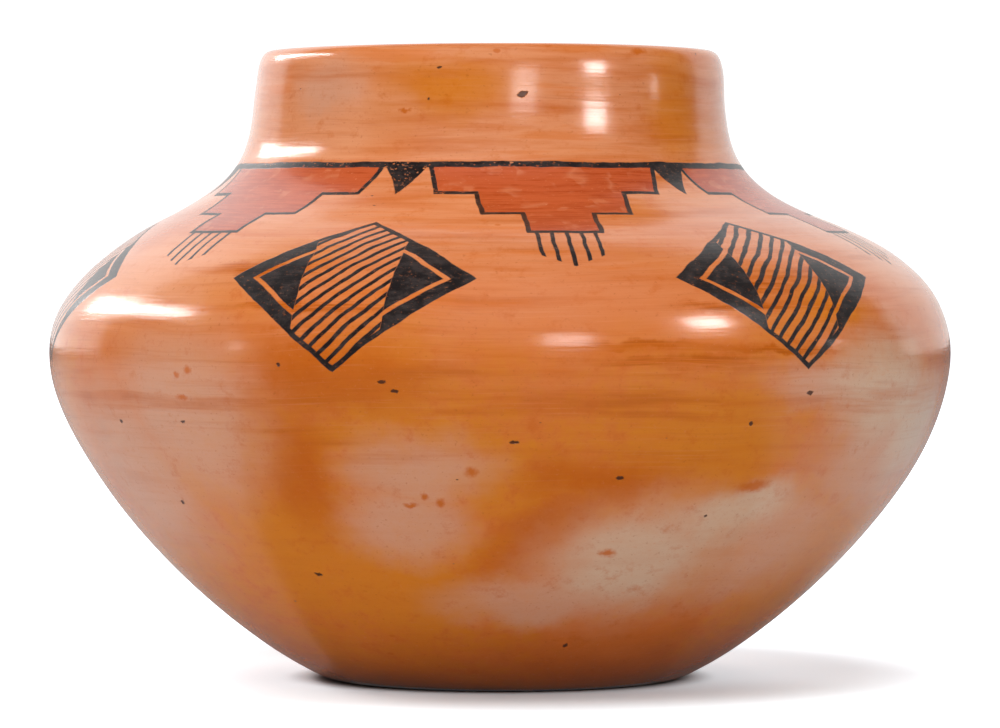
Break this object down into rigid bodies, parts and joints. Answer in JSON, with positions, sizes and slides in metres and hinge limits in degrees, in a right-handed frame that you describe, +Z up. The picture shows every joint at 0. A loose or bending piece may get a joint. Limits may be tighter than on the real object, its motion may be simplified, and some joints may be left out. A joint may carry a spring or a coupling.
{
  "type": "pottery vase",
  "caption": "Coil-built pottery jar with a wide belly, a short collared neck and a painted shoulder; open at the mouth and free standing.",
  "frame": {"origin": "centre of the flat foot, on the surface that the jar stands on", "axes": "+Z up along the belly's axis; -Y is the side that the picture shows, +X its right"},
  "size_m": [0.2102, 0.2102, 0.1465],
  "materials": {
    "burnished_clay": "satin",
    "painted_clay": "satin"
  },
  "bodies": {
    "root": {"puki_base": "burnished_clay", "lower_wall_coil_1": "burnished_clay", "lower_wall_coil_2": "burnished_clay", "lower_wall_coil_3": "burnished_clay", "lower_wall_coil_4": "burnished_clay", "belly_coil": "painted_clay", "shoulder_coil_1": "painted_clay", "shoulder_coil_2": "painted_clay", "shoulder_coil_3": "painted_clay", "neck_coil_1": "painted_clay", "neck_coil_2": "painted_clay", "rim_coil": "burnished_clay"}
  },
  "joints": []
}
